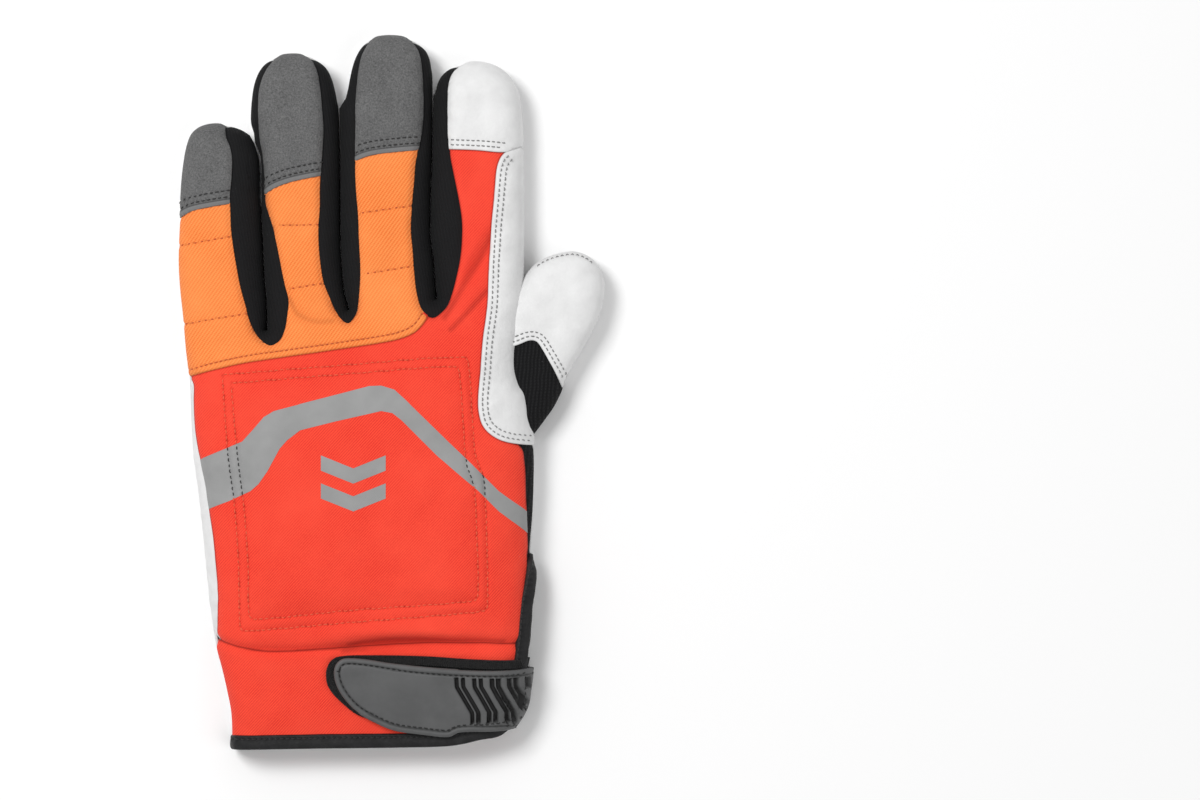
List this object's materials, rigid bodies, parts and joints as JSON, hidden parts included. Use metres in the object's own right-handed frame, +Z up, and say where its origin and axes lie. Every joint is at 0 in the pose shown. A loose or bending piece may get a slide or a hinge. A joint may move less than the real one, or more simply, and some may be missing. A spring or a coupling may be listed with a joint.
{
  "type": "chainsaw glove",
  "caption": "Left-hand work glove with a stitched saw-protection pad on its back, knit finger sides, leather palm and a strap at the wrist, lying palm down",
  "frame": {"origin": "on the surface that the palm rests on, under the middle of the glove's box", "axes": "X across the hand to the thumb side, Y from the cuff to the fingertips, Z up from the surface through the back of the hand"},
  "size_m": [0.1578, 0.2666, 0.0263],
  "materials": {
    "red_cloth": "fine woven stretch cloth, matt",
    "orange_cloth": "fine twill cloth with diagonal ribs, matt",
    "pale_leather": "thin fine-grained goatskin, soft sheen",
    "grey_suede": "speckled suede, matt",
    "black_knit": "fine black knit, matt",
    "black_hook": "fuzzy hook-and-loop backing",
    "black_tape": "grained synthetic edge tape",
    "grey_rubber": "moulded matt rubber",
    "reflective_film": "reflective heat-pressed film",
    "pad_fibre": "layered protective fibre"
  },
  "bodies": {
    "root": {"back_panel": "red_cloth", "cuff_panel": "red_cloth", "knuckle_panel": "orange_cloth", "fingertip_little": "grey_suede", "fingertip_ring": "grey_suede", "fingertip_middle": "grey_suede", "fingertip_index": "pale_leather", "index_side_panel": "pale_leather", "thumb_shell": "pale_leather", "palm_panel": "pale_leather", "fourchette_little_ring": "black_knit", "fourchette_ring_middle": "black_knit", "fourchette_middle_index": "black_knit", "wrist_gusset": "black_knit", "thumb_gusset": "black_knit", "strap_backing": "black_hook", "cuff_binding": "black_tape", "strap_tab": "grey_rubber", "reflective_stripe": "reflective_film", "emblem_chevron_1": "reflective_film", "emblem_chevron_2": "reflective_film", "cut_protection_pad": "pad_fibre"}
  },
  "joints": []
}
